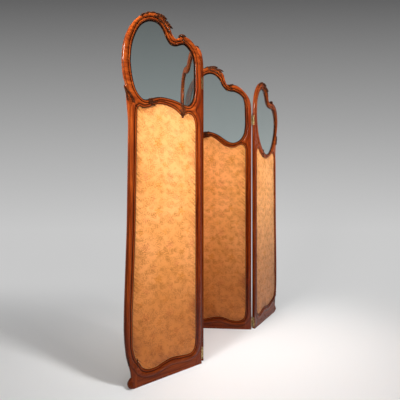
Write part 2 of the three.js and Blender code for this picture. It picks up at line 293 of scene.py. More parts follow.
def thinned(points, links, kept):
    """The points that are kept, and the links between them: by default each with the next."""
    if links is None:
        first = np.flatnonzero(kept[:-1] & kept[1:])
        links = np.stack([first, first + 1], axis=1)
    numbers = np.cumsum(kept) - 1
    whole = kept[links].all(axis=1)
    return points[kept], numbers[links[whole]]


def both(first, second):
    return np.concatenate([first[0], second[0]]), np.concatenate([first[1], second[1] + len(first[0])])


def moulding_guides(panel):
    inner = [step[0] * MM for step in MOULDING[1:]]
    outer = [step[0] * MM for step in OUTER_ROUND[1:]]
    meeting = [step[0] * MM for step in MEETING_ROUND[1:]]
    guides = guide_lines(panel.opening_runs, panel.opening_edge, inner)
    guides = both(guides, guide_lines(panel.outer_runs, panel.outer_edge, outer))
    return both(guides, guide_lines(panel.meeting_runs, panel.meeting_edge, meeting))


def profile(distances, steps, column):
    table = np.array([(step[0], step[column]) for step in steps])
    return np.interp(distances / MM, table[:, 0], table[:, 1])


# ---------------------------------------------------------------- meshes

def mesh_object(name, points, faces, sharp=35, **attributes):
    """A smooth-shaded object with creases, and with numbers or places stored on its points."""
    mesh = bpy.data.meshes.new(name)
    mesh.from_pydata(np.asarray(points).tolist(), [], faces)
    for key, values in attributes.items():
        vector = np.ndim(values) == 2
        kind = "FLOAT_VECTOR" if vector else "FLOAT"
        attribute = mesh.attributes.new(key, kind, "POINT")
        field = "vector" if vector else "value"
        attribute.data.foreach_set(field, np.asarray(values, np.float32).ravel())
    mesh.shade_smooth()
    mesh.set_sharp_from_angle(angle=math.radians(sharp))
    made = bpy.data.objects.new(name, mesh)
    bpy.context.scene.collection.objects.link(made)
    return made


def fill(loop, guides):
    """Triangles that fill a loop, with points on the parts of the guide lines that are inside it."""
    places, links = guides
    kept = inside(places, loop)
    kept[kept] = distance(places[kept], pairs(closed(loop))) > 0.4 * MM
    places, links = thinned(places, links, kept)
    count = len(loop)
    sides = [(i, (i + 1) % count) for i in range(count)] + (links + count).tolist()
    flat = [Vector(p) for p in np.concatenate([loop, places])]
    made, _, faces, *_ = delaunay_2d_cdt(flat, sides, [], 1, TINY / 10)
    return np.array([tuple(p) for p in made]), [tuple(face) for face in faces]


def thick(places, faces, front, back):
    """A closed solid from a flat triangulation and the depths of its front and back."""
    count = len(places)
    points = np.concatenate([
        np.column_stack([places[:, 0], front, places[:, 1]]),
        np.column_stack([places[:, 0], back, places[:, 1]]),
    ])
    sides = {(a, b) for face in faces for a, b in zip(face, face[1:] + face[:1])}
    rim = sorted((a, b) for a, b in sides if (b, a) not in sides)
    walls = [(b, a, a + count, b + count) for a, b in rim]
    behind = [tuple(i + count for i in reversed(face)) for face in faces]
    return points, faces + behind + walls


def dress(piece, body, material):
    """Gives a piece its material and the body that it moves with."""
    piece.data.materials.clear()
    piece.data.materials.append(material)
    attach(piece, body)
    return piece


def cut_box(piece, low, high, axes):
    """Cuts a box, given in a panel's axes, out of a piece."""
    corners = np.array(list(itertools.product(*zip(low, high))))
    faces = [(0, 1, 3, 2), (4, 6, 7, 5), (0, 4, 5, 1), (2, 3, 7, 6), (0, 2, 6, 4), (1, 5, 7, 3)]
    cutter = mesh_object("cutter", axes(corners), faces)
    boolean = piece.modifiers.new("mortise", "BOOLEAN")
    boolean.object = cutter
    boolean.operation = "DIFFERENCE"
    boolean.solver = "EXACT"
    evaluated = piece.evaluated_get(bpy.context.evaluated_depsgraph_get())
    piece.data = bpy.data.meshes.new_from_object(evaluated)
    piece.modifiers.clear()
    bpy.data.objects.remove(cutter)


# ---------------------------------------------------------------- materials

class Finish:
    """Short calls for building one material's nodes."""

    def __init__(self, name):
        self.material = bpy.data.materials.new(name)
        self.material.use_nodes = True
        self.tree = self.material.node_tree
        self.tree.nodes.clear()

    def add(self, kind, settings=None, **inputs):
        made = self.tree.nodes.new("ShaderNode" + kind)
        for key, value in (settings or {}).items():
            setattr(made, key, value)
        for key, value in inputs.items():
            self.feed(made.inputs[key.replace("_", " ")], value)
        return made

    def feed(self, socket, value):
        if isinstance(value, bpy.types.NodeSocket):
            self.tree.links.new(value, socket)
        else:
            socket.default_value = value

    def place(self, attribute, stretch=(1, 1, 1)):
        stored = self.add("Attribute", {"attribute_name": attribute})
        return self.add("Mapping", Vector=stored.outputs["Vector"], Scale=stretch).outputs[0]

    def stored(self, attribute):
        return self.add("Attribute", {"attribute_name": attribute}).outputs["Fac"]

    def noise(self, place, scale=1.0, detail=3.0, roughness=0.5, distortion=0.0):
        made = self.add("TexNoise", Vector=place, Scale=scale, Detail=detail, Roughness=roughness,
                        Distortion=distortion)
        return made.outputs["Fac"]

    def math(self, operation, first, second=0.0, third=0.0):
        made = self.add("Math", {"operation": operation})
        for socket, value in zip(made.inputs, (first, second, third)):
            self.feed(socket, value)
        return made.outputs[0]

    def vector_math(self, operation, first, second):
        made = self.add("VectorMath", {"operation": operation})
        self.feed(made.inputs[0], first)
        self.feed(made.inputs[1], second)
        return made.outputs[0]

    def between(self, value, low, high, out_low=0.0, out_high=1.0):
        """value from low to high, eased, as a number from out_low to out_high."""
        made = self.add("MapRange", {"interpolation_type": "SMOOTHSTEP"}, Value=value, From_Min=low,
                        From_Max=high, To_Min=out_low, To_Max=out_high)
        return made.outputs["Result"]

    def ramp(self, value, *stops):
        made = self.add("ValToRGB", Fac=value)
        elements = made.color_ramp.elements
        while len(elements) < len(stops):
            elements.new(0.5)
        for element, (position, colour) in zip(elements, stops):
            element.position = position
            element.color = (*colour, 1)
        return made.outputs["Color"]

    def mix(self, amount, low, high, blend="MIX"):
        made = self.add("Mix", {"data_type": "RGBA", "blend_type": blend})
        for socket, value in ((made.inputs[0], amount), (made.inputs[6], low), (made.inputs[7], high)):
            self.feed(socket, (*value, 1) if isinstance(value, tuple) else value)
        return made.outputs[2]

    def bump(self, height, distance, strength=1.0):
        return self.add("Bump", Height=height, Distance=distance, Strength=strength).outputs["Normal"]

    def surface(self, **inputs):
        shader = self.add("BsdfPrincipled", **inputs)
        output = self.add("OutputMaterial")
        self.tree.links.new(shader.outputs["BSDF"], output.inputs["Surface"])
        return self.material


def wood_material(name, light, middle, dark, polish, coat=0.22):
    """Polished timber. Its hollows are painted dark, partly for dark wax and partly as painted shade, and it is
    painted darker towards the floor as painted shade, under any light.
    """
    finish = Finish(name)
    figure = finish.noise(finish.place("grain", (5, 70, 70)), 1, 4, 0.55, 0.6)
    streaks = finish.noise(finish.place("grain", (14, 420, 420)), 1, 3, 0.6)
    pores = finish.between(finish.noise(finish.place("grain", (90, 2400, 2400)), 1, 1), 0.6, 0.72)
    clouds = finish.noise(finish.place("grain", (3, 9, 9)), 1, 2)
    tone = finish.math("ADD", finish.math("MULTIPLY", figure, 0.55), finish.math("MULTIPLY", streaks, 0.25))
    tone = finish.math("ADD", tone, finish.math("MULTIPLY", clouds, 0.2))
    colour = finish.ramp(tone, (0.34, dark), (0.48, middle), (0.64, light))
    colour = finish.mix(finish.math("MULTIPLY", pores, 0.45), colour, dark)
    hollow = finish.stored("hollow")
    # Hollows go near-black: partly dark wax, partly painted shade.
    hollow_wax_and_shade = finish.between(hollow, 0.05, 0.8, 0.0, 0.82)
    colour = finish.mix(hollow_wax_and_shade, colour, (0.020, 0.004, 0.001))
    place = finish.add("TexCoord").outputs["Object"]
    # Painted shade: the timber is darker towards the floor.
    height_above_floor = finish.add("SeparateXYZ", Vector=place).outputs[2]
    painted_floor_shade = finish.between(height_above_floor, 0.1, 1.15, 0.6, 0.0)
    colour = finish.mix(painted_floor_shade, colour, (0.55, 0.42, 0.30), "MULTIPLY")
    wear = finish.noise(finish.place("grain", (40, 40, 40)), 1, 3)
    roughness = finish.math("ADD", finish.between(wear, 0.3, 0.7, polish, polish + 0.12),
                            finish.math("MULTIPLY", hollow, 0.2))
    height = finish.math("SUBTRACT", finish.math("MULTIPLY", streaks, 0.4), pores)
    return finish.surface(
        Base_Color=colour, Roughness=roughness, Coat_Weight=coat, Coat_Roughness=0.1, Coat_IOR=1.5,
        Specular_IOR_Level=0.06, Specular_Tint=(1.0, 0.66, 0.5, 1), Normal=finish.bump(height, 0.1 * MM, 0.5),
    )


def motif(finish, place, repeat, shift, petals, radius, turn=0.0):
    """A flower or leaf in each repeat of the pattern: how far inside it, and how far from it in mm."""
    scaled = finish.add("Mapping", Vector=place, Scale=(1 / repeat[0], 1 / repeat[1], 0),
                        Location=(*shift, 0)).outputs[0]
    parts = finish.add("SeparateXYZ", Vector=scaled)
    across = finish.math("MULTIPLY", finish.math("SUBTRACT", finish.math("FRACT", parts.outputs[0]), 0.5),
                         repeat[0] / MM)
    up = finish.math("MULTIPLY", finish.math("SUBTRACT", finish.math("FRACT", parts.outputs[1]), 0.5),
                     repeat[1] / MM)
    away = finish.math("SQRT", finish.math("ADD", finish.math("MULTIPLY", across, across),
                                           finish.math("MULTIPLY", up, up)))
    angle = finish.math("ARCTAN2", up, across)
    lobes = finish.math("COSINE", finish.math("MULTIPLY_ADD", angle, petals, turn))
    outline = finish.math("MULTIPLY_ADD", lobes, radius * 0.35, radius)
    return finish.between(finish.math("SUBTRACT", outline, away), -1.5, 0.25 * radius), away


# The damask's repeat, and its sprays: (place in the repeat, petals, radius in mm, turn, colour, strength).
REPEAT = (132 * MM, 330 * MM)
SPRAYS = [
    ((0.00, 0.00), 5, 19, 0.0, "gilt", 0.95), ((0.50, 0.50), 5, 19, 2.0, "rose", 0.8),
    ((0.47, 0.12), 6, 14, 1.0, "rose", 0.7), ((0.97, 0.62), 6, 14, 0.4, "gilt", 0.8),
    ((0.20, 0.06), 2, 13, 0.6, "leaf", 0.6), ((0.70, 0.56), 2, 13, 1.4, "leaf", 0.6),
    ((0.84, 0.09), 2, 14, 2.4, "leaf", 0.5), ((0.34, 0.59), 2, 14, 0.2, "leaf", 0.5),
    ((0.10, 0.20), 2, 12, 1.9, "leaf", 0.5), ((0.60, 0.70), 2, 12, 2.9, "leaf", 0.5),
    ((0.70, 0.30), 4, 13, 0.9, "gilt", 0.8), ((0.20, 0.80), 4, 13, 0.1, "rose", 0.7),
    ((0.90, 0.38), 2, 11, 0.0, "leaf", 0.5), ((0.40, 0.88), 2, 11, 1.1, "leaf", 0.5),
]
SPRIG_REPEATS = [((41 * MM, 38 * MM), (0.3, 0.1), 3, 6.0), ((57 * MM, 76 * MM), (0.7, 0.4), 2, 8.0)]


def damask_material(name, ground, gilt, rose, leaf):
    """Silk damask with sprays of flowers, with painted shade in its creases and towards the floor."""
    finish = Finish(name)
    cloth = finish.place("cloth")
    drift = finish.add("TexNoise", Vector=cloth, Scale=38.0, Detail=3.0, Roughness=0.6).outputs["Color"]
    sway = finish.add("Mapping", Vector=drift, Scale=(0.035, 0.035, 0)).outputs[0]
    place = finish.vector_math("ADD", cloth, sway)
    inks = {"gilt": gilt, "rose": rose, "leaf": leaf}
    faded = finish.noise(cloth, 6, 3)
    speckle = finish.between(finish.noise(cloth, 190, 3, 0.65), 0.42, 0.62)
    clusters = finish.between(finish.noise(cloth, 24, 2), 0.38, 0.62, 0.14, 0.8)
    broken = finish.math("MULTIPLY_ADD", speckle, 0.6, 0.4)
    colour = finish.mix(finish.between(faded, 0.35, 0.65, 0.0, 0.35), ground, gilt)
    figure = 0.0
    for shift, petals, radius, turn, ink, strength in SPRAYS:
        shape, away = motif(finish, place, REPEAT, shift, petals, radius, turn)
        shape = finish.math("MULTIPLY", shape, broken)
        shade = inks[ink]
        if petals > 2:
            rings = finish.between(finish.math("PINGPONG", away, 5.0), 0.4, 2.6, 0.6, 0.0)
            shade = finish.mix(rings, shade, leaf)
        colour = finish.mix(finish.math("MULTIPLY", shape, strength), colour, shade)
        figure = finish.math("MAXIMUM", figure, shape)
    for repeat, shift, petals, radius in SPRIG_REPEATS:
        shape, _ = motif(finish, place, repeat, shift, petals, radius)
        colour = finish.mix(finish.math("MULTIPLY", shape, 0.28), colour, leaf)
        figure = finish.math("MAXIMUM", figure, shape)
    colour = finish.mix(finish.math("MULTIPLY", speckle, clusters), colour, leaf)
    # Painted shade: the silk is darker and browner towards the floor.
    height_above_floor = finish.add("SeparateXYZ", Vector=cloth).outputs[1]
    painted_floor_shade = finish.between(height_above_floor, 0.1, 0.9, 1.0, 0.0)
    colour = finish.mix(painted_floor_shade, colour, (0.62, 0.44, 0.18), "MULTIPLY")
    # Painted shade in the creases and puckers at the edge of the silk.
    painted_crease_shade = finish.math("MULTIPLY", finish.stored("crease"), finish.between(faded, 0.35, 0.6, 0.5, 1.0))
    colour = finish.mix(painted_crease_shade, colour, (0.45, 0.30, 0.17), "MULTIPLY")
    threads = finish.add("TexWave", {"wave_type": "BANDS", "bands_direction": "X"}, Vector=cloth,
                         Scale=420.0, Distortion=1.0).outputs["Fac"]
    slubs = finish.noise(finish.place("cloth", (90, 1800, 1)), 1, 2)
    weave = finish.math("MULTIPLY_ADD", threads, 0.25, finish.math("MULTIPLY", slubs, 0.3))
    height = finish.math("MULTIPLY_ADD", figure, 0.6, weave)
    roughness = finish.between(figure, 0.0, 1.0, 0.42, 0.62)
    return finish.surface(
        Base_Color=colour, Roughness=roughness, Sheen_Weight=0.3, Sheen_Roughness=0.4,
        Sheen_Tint=(1.0, 0.8, 0.5, 1), Specular_IOR_Level=0.4,
        Normal=finish.bump(height, 0.25 * MM, 0.7),
    )


def cotton_material(name, colour, dark):
    """Plain calico lining: a coarse weave with slubs and some foxing."""
    finish = Finish(name)
    cloth = finish.place("cloth")
    weave = finish.math("MULTIPLY", *[
        finish.add("TexWave", {"wave_type": "BANDS", "bands_direction": way}, Vector=cloth, Scale=330.0,
                   Distortion=1.5).outputs["Fac"] for way in "XY"])
    stains = finish.noise(cloth, 5, 4, 0.6)
    slubs = finish.noise(finish.place("cloth", (40, 700, 1)), 1, 2)
    tint = finish.mix(finish.between(stains, 0.45, 0.75, 0.0, 0.3), colour, dark)
    tint = finish.mix(finish.between(slubs, 0.5, 0.8, 0.0, 0.3), tint, dark)
    return finish.surface(Base_Color=tint, Roughness=0.86, Sheen_Weight=0.2, Sheen_Roughness=0.5,
                          Normal=finish.bump(weave, 0.3 * MM, 0.6))


def brass_material():
    """Aged cast brass: patchily bright and brown, lightly scratched."""
    finish = Finish("aged_brass")
    place = finish.add("TexCoord").outputs["Object"]
    patina = finish.noise(place, 90, 4, 0.6)
    scratches = finish.noise(finish.add("Mapping", Vector=place, Scale=(900, 900, 60)).outputs[0], 1, 2)
    colour = finish.ramp(patina, (0.35, (0.10, 0.065, 0.02)), (0.52, (0.42, 0.30, 0.12)),
                         (0.72, (0.80, 0.64, 0.34)))
    roughness = finish.between(patina, 0.35, 0.7, 0.5, 0.28)
    return finish.surface(Base_Color=colour, Metallic=0.75, Roughness=roughness,
                          Normal=finish.bump(scratches, 0.05 * MM, 0.5))


def glass_material():
    """Old drawn glass: a faint grey-green tint and a slow ripple."""
    finish = Finish("drawn_glass")
    place = finish.add("TexCoord").outputs["Object"]
    ripple = finish.noise(finish.add("Mapping", Vector=place, Scale=(9, 9, 3)).outputs[0], 1, 1)
    tint = finish.mix(ripple, (0.72, 0.82, 0.81), (0.76, 0.85, 0.84))
    return finish.surface(Base_Color=tint, Roughness=0.015, IOR=1.45, Transmission_Weight=1.0,
                          Normal=finish.bump(ripple, 0.3 * MM, 0.15))


def paper_material():
    """Studio paper: pale on the floor, and glowing softly up the wall, where it fades to grey."""
    finish = Finish("studio_paper")
    place = finish.add("TexCoord").outputs["Object"]
    _, back, up = finish.add("SeparateXYZ", Vector=place).outputs
    tooth = finish.noise(place, 300, 2)
    climb = finish.between(back, -0.5, 1.4)
    albedo = finish.mix(climb, (0.8, 0.8, 0.8), (0.05, 0.05, 0.05))
    glow = finish.ramp(finish.math("DIVIDE", up, 4.0), (0.12, (0.60, 0.60, 0.60)), (0.5, (0.37, 0.37, 0.37)),
                       (0.93, (0.125, 0.125, 0.125)))
    light = finish.mix(climb, (0.04, 0.04, 0.04), glow)
    return finish.surface(Base_Color=albedo, Roughness=0.9, Specular_IOR_Level=0.1, Emission_Color=light,
                          Emission_Strength=0.94, Normal=finish.bump(tooth, 0.05 * MM, 0.2))


MAHOGANY = wood_material(
    "polished_mahogany", (0.37, 0.072, 0.010), (0.21, 0.034, 0.005), (0.09, 0.011, 0.002), 0.24,
)
# A darker copy of the timber for the hinged stiles: painted shade.
SHADED_MAHOGANY = wood_material(
    "painted_shade_mahogany", (0.30, 0.050, 0.005), (0.165, 0.021, 0.003), (0.06, 0.007, 0.002), 0.2, 0.4,
)
# The carving's timber is near-black: partly dark wax, partly painted shade for its undercuts.
CARVED_WAX_AND_SHADE = wood_material(
    "carved_mahogany_wax_and_shade", (0.11, 0.030, 0.010), (0.050, 0.014, 0.005), (0.010, 0.003, 0.002), 0.3, 0.2,
)
DAMASK = damask_material(
    "gold_damask", (0.85, 0.365, 0.125), (0.66, 0.24, 0.025), (0.74, 0.25, 0.10), (0.36, 0.135, 0.02),
)
LINING = cotton_material("calico_lining", (0.44, 0.30, 0.16), (0.25, 0.15, 0.07))
GIMP = cotton_material("silk_gimp", (0.46, 0.20, 0.055), (0.26, 0.10, 0.03))
PINE = wood_material("pine_board", (0.55, 0.36, 0.18), (0.44, 0.27, 0.12), (0.28, 0.16, 0.07), 0.6)
BRASS = brass_material()
GLASS = glass_material()


# ---------------------------------------------------------------- the frame's members

def moulded_member(panel, member):
    """One stile or rail, with the moulding run round the openings and the outer edge rounded."""
    node = f"{panel.body}_{member}"
    places, faces = fill(panel.outlines[member], panel.guides)
    to_opening = distance(places, panel.opening_edge)
    to_outside = distance(places, panel.outer_edge)
    to_meeting = distance(places, panel.meeting_edge)
    front = np.maximum(profile(to_opening, MOULDING, 1), profile(to_outside, OUTER_ROUND, 1))
    front = np.maximum(front, profile(to_meeting, MEETING_ROUND, 1)) * MM
    eased = profile(np.minimum(to_opening, to_meeting), BACK_EASE, 1)
    ease = np.maximum(eased, profile(to_outside, BACK_ROUND, 1)) * MM
    points, faces = thick(places, faces, front, panel.thickness - ease)
    # How dark each point is painted: dark wax and painted shade in the moulding's hollows and at its edges, and
    # a little over the back.
    hollow = np.maximum(profile(to_opening, MOULDING, 2), profile(to_outside, OUTER_ROUND, 2))
    hollow = np.concatenate([hollow, np.full(len(places), 0.15)])
    order = (2, 0, 1) if "stile" in member else (0, 2, 1)
    name = f"{node}_moulded"
    piece = mesh_object(name, panel.world(points), faces, grain=points[:, order], hollow=hollow)
    if "stile" in member:
        cut_hinge_seats(panel, member, piece)
    # The hinged stiles take the darker copy of the timber: painted shade.
    hinged = member.endswith("stile") and not member.startswith(FREE_SIDE.get(panel.name, "none"))
    timber = SHADED_MAHOGANY if hinged else MAHOGANY
    dress(piece, panel.body, timber)
    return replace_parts(piece, node)


def cut_hinge_seats(panel, member, piece):
    """Lets the hinge leaves into a stile, open at its edge and at its nearer face."""
    out = np.array((SEAT_OVERSHOOT, SEAT_OVERSHOOT, 0.0))
    for low, high in hinge_leaves(panel).values():
        if (low[0] > panel.width / 2) == (member == "right_stile"):
            near = np.array((low[0] < panel.width / 2, low[1] < panel.thickness / 2 - MM, False))
            grown_low = low - SEAT_CLEARANCE - out * near
            grown_high = high + SEAT_CLEARANCE + out * ~near
            cut_box(piece, grown_low, grown_high, panel.world)


def hinge_leaves(panel):
    """The plates of the panel's hinge leaves, without their knuckles, as boxes in its axes."""
    plates = {}
    for node in sorted(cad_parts):
        if node.startswith("hinge") and node.endswith(f"leaf_{panel.name}"):
            points = panel.local(node_points(node))
            low, high = points.min(0), points.max(0)
            in_wood = (points[:, 1] > -TINY) & (points[:, 1] < panel.thickness + TINY)
            plate = points[in_wood & (points[:, 0] > -TINY) & (points[:, 0] < panel.width + TINY)]
            plates[node] = (
                np.array((plate[:, 0].min(), plate[:, 1].min(), low[2])),
                np.array((plate[:, 0].max(), plate[:, 1].max(), high[2])),
            )
    return plates


# ---------------------------------------------------------------- silk, lining, glass

def upholster(panel, layer, crown, pucker, material, board_side):
    """A sheet stretched over the backing board: crowned in the middle, puckered at its tacks."""
    node = f"{panel.body}_{layer}"
    plate = panel.local(node_points(node))
    low, high = plate.min(0), plate.max(0)
    smooth = smooth_run(closed(panel.silk), 3.4 * MM)[:-1]
    edge = pairs(closed(smooth))
    offsets = [d * MM for d in (2, 4.5, 8, 12, 17, 24, 34, 48, 66, 90, 120)]
    places, faces = fill(smooth, guide_lines([closed(smooth)], edge, offsets))
    inwards = distance(places, edge)
    rise = crown * (1 - np.exp(-inwards / CROWN_REACH))
    around = places[:, 0] * 0.9 + places[:, 1]
    waves = np.abs(np.sin(around / (8.8 * MM))) ** 0.6 + 0.5 * np.sin(around / (2.9 * MM) + 1.7)
    waves *= 1 + 0.5 * np.sin(around / (61 * MM)) + 0.3 * np.sin(around / (23 * MM))
    folds = pucker * waves * np.exp(-inwards / PUCKER_REACH) * np.clip(inwards / (2 * MM), 0, 1)
    # Where the cloth creases at its edge; the damask is painted darker there as painted shade.
    crease = np.exp(-inwards / CREASE_REACH) * np.clip(1.15 - waves, 0, 1)
    if board_side == "back":
        front = low[1] + 0.6 * MM - rise - folds
        back = front + SHEET_THICKNESS
    else:
        back = high[1] + rise + folds
        front = back - SHEET_THICKNESS
    points, faces = thick(places, faces, front, back)
    cloth = np.column_stack([points[:, 0], points[:, 2], np.zeros(len(points))])
    name = f"{node}_sheet"
    piece = mesh_object(name, panel.world(points), faces, 60, cloth=cloth, crease=np.tile(crease, 2))
    dress(piece, panel.body, material)
    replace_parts(piece, node)
    return piece, smooth


def swept(name, panel, line, section, **attributes):
    """A closed line of (x, z) points swept with a closed section of (sideways, depth) points."""
    way = unit(np.roll(line, -1, 0) - np.roll(line, 1, 0))
    side = np.stack([-way[:, 1], way[:, 0]], axis=1)
    points, around = [], []
    travelled = np.concatenate([[0], np.cumsum(np.linalg.norm(np.diff(line, axis=0), axis=1))])
    for sideways, depth in section:
        flat = line + side * sideways
        level = np.full(len(line), depth)
        points.append(np.column_stack([flat[:, 0], level, flat[:, 1]]))
        around.append(np.column_stack([travelled, np.full(len(line), sideways), level]))
    count, sides = len(line), len(section)
    faces = [(k * count + i, k * count + (i + 1) % count, (k + 1) % sides * count + (i + 1) % count,
              (k + 1) % sides * count + i) for k in range(sides) for i in range(count)]
    stored = np.concatenate(around)
    # A little dark wax and painted shade on every point.
    return mesh_object(name, panel.world(np.concatenate(points)), faces, 50, grain=stored, cloth=stored,
                       hollow=np.full(count * sides, 0.3))


def round_section(radius, sideways, depth, sides=8):
    angles = [2 * math.pi * k / sides for k in range(sides)]
    return [(sideways + radius * math.cos(a), depth + radius * math.sin(a)) for a in angles]


def silk_panel(panel):
    """The damask, its gimp, the board behind it and the lining on the back."""
    board = f"{panel.body}_backing_board"
    silk, line = upholster(panel, "silk_panel", 2.2 * MM, 1.7 * MM, DAMASK, "back")
    depth = panel.local(node_points(f"{panel.body}_silk_panel"))[:, 1].min()
    section = round_section(0.9 * MM, 0.9 * MM, depth - 0.3 * MM)
    gimp = swept(f"{panel.body}_silk_gimp", panel, line, section)
    dress(gimp, panel.body, GIMP)
    lining, line = upholster(panel, "back_lining", 1.2 * MM, 0.3 * MM, LINING, "front")
    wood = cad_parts[board]
    wood.data.materials.clear()
    wood.data.materials.append(PINE)
    points = panel.local(node_points(board))
    stored = wood.data.attributes.new("grain", "FLOAT_VECTOR", "POINT")
    stored.data.foreach_set("vector", points[:, (2, 0, 1)].astype(np.float32).ravel())


def glazing(panel):
    """The pane, and the bead that holds it in from behind."""
    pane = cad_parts[f"{panel.body}_glass_pane"]
    pane.data.materials.clear()
    pane.data.materials.append(GLASS)
    behind = panel.local(node_points(pane.name))[:, 1].max() + 0.2 * MM
    line = smooth_run(closed(panel.glass), OUTLINE_STEP)[:-1]
    reach, depth = 5 * MM, 6 * MM
    section = [
        (-MM, behind), (reach, behind), (reach, behind + 0.3 * depth),
        (0.7 * reach, behind + 0.75 * depth), (0.25 * reach, behind + depth), (-MM, behind + depth),
    ]
    bead = swept(f"{panel.body}_glazing_bead", panel, line, section)
    dress(bead, panel.body, MAHOGANY)


# ---------------------------------------------------------------- brass

def turned(points, faces, centre, profile_steps, sides, hollow=False):
    """Adds to a mesh the surface of a vertical turned part, from (radius, height) steps."""
    first = len(points)
    for radius, height in profile_steps:
        for k in range(sides):
            angle = 2 * math.pi * k / sides
            x = centre[0] + radius * math.cos(angle)
            y = centre[1] + radius * math.sin(angle)
            points.append((x, y, height))
    rows = len(profile_steps)
    for row in range(rows if hollow else rows - 1):
        a, b = first + row * sides, first + (row + 1) % rows * sides
        faces += [(a + k, a + (k + 1) % sides, b + (k + 1) % sides, b + k) for k in range(sides)]
    if not hollow:
        faces.append(tuple(first + k for k in reversed(range(sides))))
        faces.append(tuple(first + (rows - 1) * sides + k for k in range(sides)))


def hinge_pin(node, body):
    """A loose pin with a turned ball finial at each end."""
    low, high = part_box(node)
    centre = (low + high) / 2
    ball = (high.x - low.x) / 2
    neck = ball / 2
    half = (high.z - low.z) / 2
    end = [(ball * math.sin(a), half - ball + ball * math.cos(a))
           for a in (math.radians(150 - 15 * k) for k in range(10))]
    collar = [(neck, half - 2.6 * ball), (ball * 0.95, half - 2.5 * ball),
              (ball * 0.95, half - 2.2 * ball), (neck, half - 2 * ball)]
    upper = collar + end + [(0.2 * MM, half)]
    lower = [(radius, -height) for radius, height in reversed(upper)]
    steps = [(radius, centre.z + height) for radius, height in lower + upper]
    points, faces = [], []
    turned(points, faces, (centre.x, centre.y), steps, 20)
    piece = mesh_object(f"{node}_turned", points, faces, 40)
    dress(piece, body, BRASS)
    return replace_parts(piece, node)


def screw_head(points, faces, centre, outward, radius):
    """A slotted screw head on a vertical plate: a low dome cut across by a slot."""
    rows = [(1.0, 0.0), (0.92, 0.25), (0.55, 0.42), (0.12, 0.46)]
    sides = 16
    first = len(points)
    for share, rise in rows:
        for k in range(sides):
            angle = 2 * math.pi * k / sides
            across = radius * share * math.cos(angle)
            slot = 0.3 if abs(across) < 0.16 * radius else 0.0
            x = centre[0] + outward * (rise - slot) * MM
            z = centre[2] + radius * share * math.sin(angle)
            points.append((x, centre[1] + across, z))
    for row in range(len(rows) - 1):
        a, b = first + row * sides, first + (row + 1) * sides
        ring = [(a + k, a + (k + 1) % sides, b + (k + 1) % sides, b + k) for k in range(sides)]
        faces += ring if outward > 0 else [tuple(reversed(face)) for face in ring]
    top = [first + (len(rows) - 1) * sides + k for k in range(sides)]
    faces.append(tuple(top) if outward > 0 else tuple(reversed(top)))


def eased_plate(points, faces, columns, span, facing):
    """Adds a plate with an eased face: one square for each (x, inset), joined in turn."""
    y0, y1, z0, z1 = span
    first = len(points)
    for x, inset in columns:
        points += [(x, y0 + inset, z0 + inset), (x, y1 - inset, z0 + inset),
                   (x, y1 - inset, z1 - inset), (x, y0 + inset, z1 - inset)]
    block = [(first, first + 3, first + 2, first + 1)]
    for row in (first, first + 4):
        block += [(row + k, row + (k + 1) % 4, row + 4 + (k + 1) % 4, row + 4 + k) for k in range(4)]
    block.append((first + 8, first + 9, first + 10, first + 11))
    faces += block if facing else [tuple(reversed(face)) for face in block]


def hinge_leaf(panel, node, low, high):
    """A leaf with eased edges, its knuckles and its screws."""
    points, faces = [], []
    right = low[0] > panel.width / 2
    whole = panel.local(node_points(node))
    pin_x = (whole[:, 0].max() - KNUCKLE_RADIUS) if right else (whole[:, 0].min() + KNUCKLE_RADIUS)
    back = whole[:, 1].max() > panel.thickness + MM
    pin_y = whole[:, 1].max() - KNUCKLE_RADIUS if back else whole[:, 1].min() + KNUCKLE_RADIUS
    third = (high[2] - low[2]) / 3
    knuckles = [(low[2] + k * third + KNUCKLE_GAP, low[2] + (k + 1) * third - KNUCKLE_GAP)
                for k in ((0, 2) if right else (1,))]
    wood_face = panel.thickness if back else 0.0
    reach = (wood_face - MM, pin_y) if back else (pin_y, wood_face + MM)
    ease = 0.35 * MM
    if right:
        columns = ((low[0], 0), (high[0] - ease, 0), (high[0], ease))
    else:
        columns = ((high[0], 0), (low[0] + ease, 0), (low[0], ease))
    for span in [(low[1], high[1], low[2], high[2])] + [(*reach, *knuckle) for knuckle in knuckles]:
        eased_plate(points, faces, columns, span, right)
    for bottom, top in knuckles:
        outer, bore, chamfer = KNUCKLE_RADIUS, BORE_RADIUS, 0.4 * MM
        ring = [(bore, bottom), (outer - chamfer, bottom), (outer, bottom + chamfer),
                (outer, top - chamfer), (outer - chamfer, top), (bore, top)]
        turned(points, faces, (pin_x, pin_y), ring, 24, hollow=True)
    outward = 1 if right else -1
    face_x = high[0] if right else low[0]
    middle = (low[1] + high[1]) / 2
    for share, shift in ((0.14, -0.18), (0.5, 0.18), (0.86, -0.18)):
        place = (face_x, middle + shift * (high[1] - low[1]), low[2] + share * (high[2] - low[2]))
        screw_head(points, faces, place, outward, 2.6 * MM)
    piece = mesh_object(f"{node}_brass", panel.world(np.array(points)), faces, 40)
    dress(piece, panel.body, BRASS)
    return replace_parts(piece, node)


# ---------------------------------------------------------------- carving

def grid_solid(front, back):
    """A closed solid between two grids of points, each rows by columns by 3."""
    rows, columns = front.shape[:2]
    number = np.arange(rows * columns).reshape(rows, columns)
    quads = np.stack([number[:-1, :-1], number[:-1, 1:], number[1:, 1:], number[1:, :-1]], -1).reshape(-1, 4)
    rim = np.concatenate([number[0, :-1], number[:-1, -1], number[-1, :0:-1], number[:0:-1, 0]])
    count = rows * columns
    faces = [tuple(q) for q in quads.tolist()]
    faces += [tuple(q) for q in (quads[:, ::-1] + count).tolist()]
    faces += [(int(b), int(a), int(a) + count, int(b) + count) for a, b in zip(rim, np.roll(rim, -1))]
    return np.concatenate([front.reshape(-1, 3), back.reshape(-1, 3)]), faces


